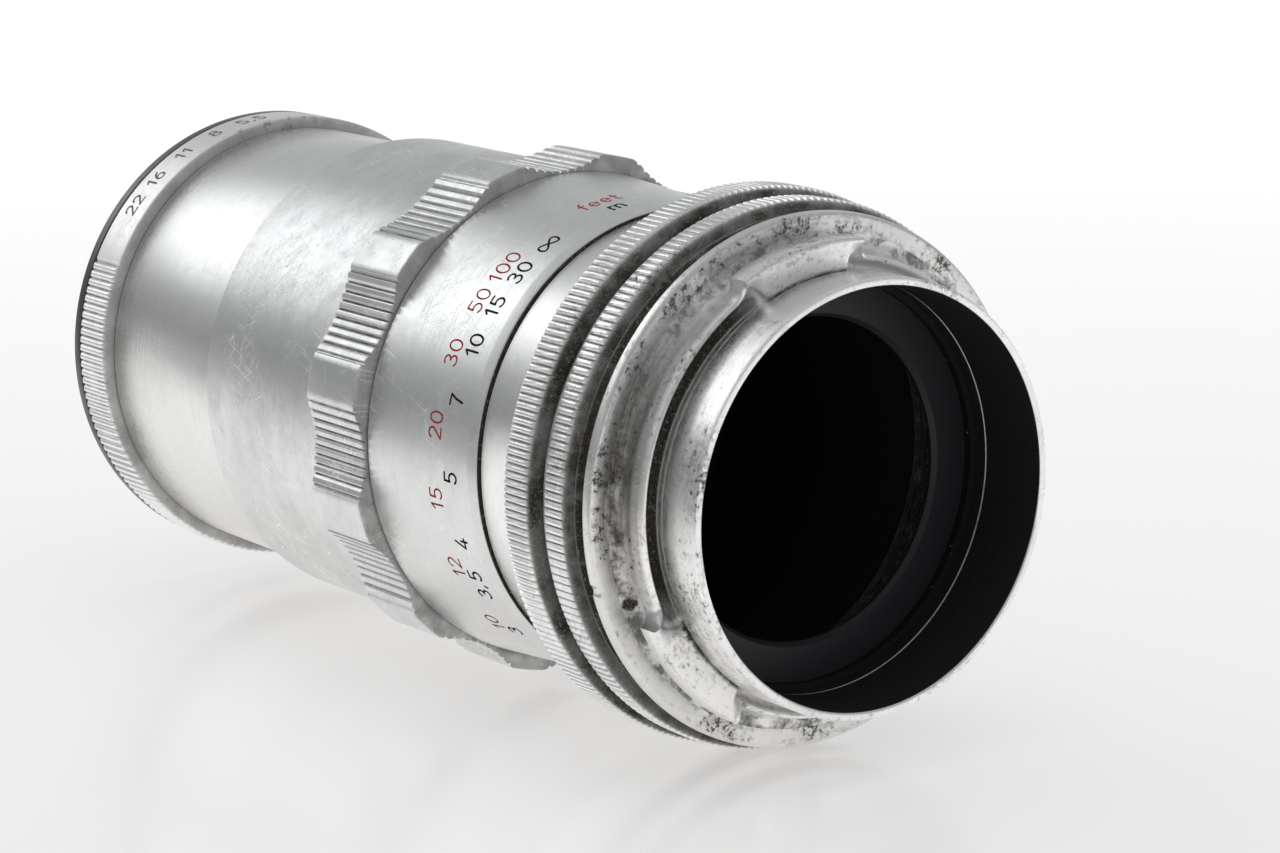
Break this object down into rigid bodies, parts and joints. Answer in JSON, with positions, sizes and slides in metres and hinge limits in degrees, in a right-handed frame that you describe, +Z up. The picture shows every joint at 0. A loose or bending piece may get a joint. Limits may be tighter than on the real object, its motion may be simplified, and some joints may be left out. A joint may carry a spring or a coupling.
{
  "type": "telephoto camera lens",
  "caption": "Long-focus camera lens in an aluminium mount with engraved distance ring, scalloped grip, aperture ring and three-lug bayonet.",
  "frame": {"origin": "centre of the bayonet tail's rear end, on the optical axis", "axes": "+Y along the optical axis from the bayonet towards the front glass, +Z up at the middle of the top lug's gap side, +X to the right seen from behind"},
  "size_m": [0.057, 0.1153, 0.057],
  "materials": {
    "alu_polished": "fine turned, worn",
    "alu_knurled": "knurled, dirt in the valleys",
    "alu_tail": "dull, stained",
    "black_inside": "matte black",
    "black_ring": "satin black",
    "brass_helicoid": "greased",
    "steel_small": "fine turned",
    "blade_steel": "blued",
    "coated_glass": "single coated",
    "scale_black": "engraved, filled",
    "scale_red": "engraved, filled",
    "dirt": "dried grease and dust"
  },
  "bodies": {
    "mount": {"bayonet_tail": "alu_tail", "mount_flange": "alu_tail", "mount_grip_ring": "alu_knurled", "rear_baffle": "black_inside", "baffle_ring": "black_inside", "fixed_barrel": "alu_polished", "stop_screw": "steel_small", "focus_retaining_ring": "alu_polished", "guide_keys": "steel_small", "key_screws": "steel_small"},
    "lock_ring_body": {"lock_ring": "alu_knurled"},
    "focus": {"scale_ring": "alu_polished", "focus_sleeve": "alu_polished"},
    "head": {"head_tube": "alu_polished", "head_helicoid": "brass_helicoid", "lens_barrel": "black_inside", "barrel_retaining_ring": "black_inside", "iris_base": "black_inside", "front_cell": "black_inside", "front_element_1": "coated_glass", "front_element_2": "coated_glass", "front_spacer": "black_inside", "front_retaining_ring": "black_inside", "front_cover_ring": "black_ring", "front_ring": "black_ring", "rear_cell": "black_inside", "rear_element_1": "coated_glass", "rear_element_2": "coated_glass", "rear_spacer": "black_inside", "rear_retaining_ring": "black_inside"},
    "aperture": {"aperture_ring": "alu_polished", "drive_screw": "steel_small", "iris_drive_ring": "black_inside"},
    "blade_01": {"iris_blade_01": "blade_steel"},
    "blade_02": {"iris_blade_02": "blade_steel"},
    "blade_03": {"iris_blade_03": "blade_steel"},
    "blade_04": {"iris_blade_04": "blade_steel"},
    "blade_05": {"iris_blade_05": "blade_steel"},
    "blade_06": {"iris_blade_06": "blade_steel"},
    "blade_07": {"iris_blade_07": "blade_steel"},
    "blade_08": {"iris_blade_08": "blade_steel"},
    "blade_09": {"iris_blade_09": "blade_steel"},
    "blade_10": {"iris_blade_10": "blade_steel"},
    "blade_11": {"iris_blade_11": "blade_steel"},
    "blade_12": {"iris_blade_12": "blade_steel"}
  },
  "joints": [
    {"name": "focus_turn", "type": "hinge", "parent": "mount", "child": "focus", "pos_m": [0, 0.042, 0], "axis": [0, 1, 0], "range_deg": [-204, 21]},
    {"name": "head_slide", "type": "slide", "parent": "mount", "child": "head", "axis": [0, 1, 0], "range_m": [-0.0224, 0.0024]},
    {"name": "aperture_turn", "type": "hinge", "parent": "head", "child": "aperture", "pos_m": [0, 0.111, 0], "axis": [0, 1, 0], "range_deg": [0, 45]},
    {"name": "lock_turn", "type": "hinge", "parent": "mount", "child": "lock_ring_body", "pos_m": [0, 0.0205, 0], "axis": [0, 1, 0], "range_deg": [0, 60]},
    {"name": "blade_01_turn", "type": "hinge", "parent": "head", "child": "blade_01", "pos_m": [0, 0.094, 0.0182], "axis": [0, 1, 0], "range_deg": [-0.5, 33]},
    {"name": "blade_02_turn", "type": "hinge", "parent": "head", "child": "blade_02", "pos_m": [0.0091, 0.094, 0.01576], "axis": [0, 1, 0], "range_deg": [-0.5, 33]},
    {"name": "blade_03_turn", "type": "hinge", "parent": "head", "child": "blade_03", "pos_m": [0.01576, 0.094, 0.0091], "axis": [0, 1, 0], "range_deg": [-0.5, 33]},
    {"name": "blade_04_turn", "type": "hinge", "parent": "head", "child": "blade_04", "pos_m": [0.0182, 0.094, 0], "axis": [0, 1, 0], "range_deg": [-0.5, 33]},
    {"name": "blade_05_turn", "type": "hinge", "parent": "head", "child": "blade_05", "pos_m": [0.01576, 0.094, -0.0091], "axis": [0, 1, 0], "range_deg": [-0.5, 33]},
    {"name": "blade_06_turn", "type": "hinge", "parent": "head", "child": "blade_06", "pos_m": [0.0091, 0.094, -0.01576], "axis": [0, 1, 0], "range_deg": [-0.5, 33]},
    {"name": "blade_07_turn", "type": "hinge", "parent": "head", "child": "blade_07", "pos_m": [0, 0.094, -0.0182], "axis": [0, 1, 0], "range_deg": [-0.5, 33]},
    {"name": "blade_08_turn", "type": "hinge", "parent": "head", "child": "blade_08", "pos_m": [-0.0091, 0.094, -0.01576], "axis": [0, 1, 0], "range_deg": [-0.5, 33]},
    {"name": "blade_09_turn", "type": "hinge", "parent": "head", "child": "blade_09", "pos_m": [-0.01576, 0.094, -0.0091], "axis": [0, 1, 0], "range_deg": [-0.5, 33]},
    {"name": "blade_10_turn", "type": "hinge", "parent": "head", "child": "blade_10", "pos_m": [-0.0182, 0.094, 0], "axis": [0, 1, 0], "range_deg": [-0.5, 33]},
    {"name": "blade_11_turn", "type": "hinge", "parent": "head", "child": "blade_11", "pos_m": [-0.01576, 0.094, 0.0091], "axis": [0, 1, 0], "range_deg": [-0.5, 33]},
    {"name": "blade_12_turn", "type": "hinge", "parent": "head", "child": "blade_12", "pos_m": [-0.0091, 0.094, 0.01576], "axis": [0, 1, 0], "range_deg": [-0.5, 33]}
  ],
  "couplings": [
    {"joint": "head_slide", "follows": "focus_turn", "m_per_rad": 0.0062548},
    {"joint": "blade_01_turn", "follows": "aperture_turn", "ratio": 0.72},
    {"joint": "blade_02_turn", "follows": "aperture_turn", "ratio": 0.72},
    {"joint": "blade_03_turn", "follows": "aperture_turn", "ratio": 0.72},
    {"joint": "blade_04_turn", "follows": "aperture_turn", "ratio": 0.72},
    {"joint": "blade_05_turn", "follows": "aperture_turn", "ratio": 0.72},
    {"joint": "blade_06_turn", "follows": "aperture_turn", "ratio": 0.72},
    {"joint": "blade_07_turn", "follows": "aperture_turn", "ratio": 0.72},
    {"joint": "blade_08_turn", "follows": "aperture_turn", "ratio": 0.72},
    {"joint": "blade_09_turn", "follows": "aperture_turn", "ratio": 0.72},
    {"joint": "blade_10_turn", "follows": "aperture_turn", "ratio": 0.72},
    {"joint": "blade_11_turn", "follows": "aperture_turn", "ratio": 0.72},
    {"joint": "blade_12_turn", "follows": "aperture_turn", "ratio": 0.72}
  ]
}
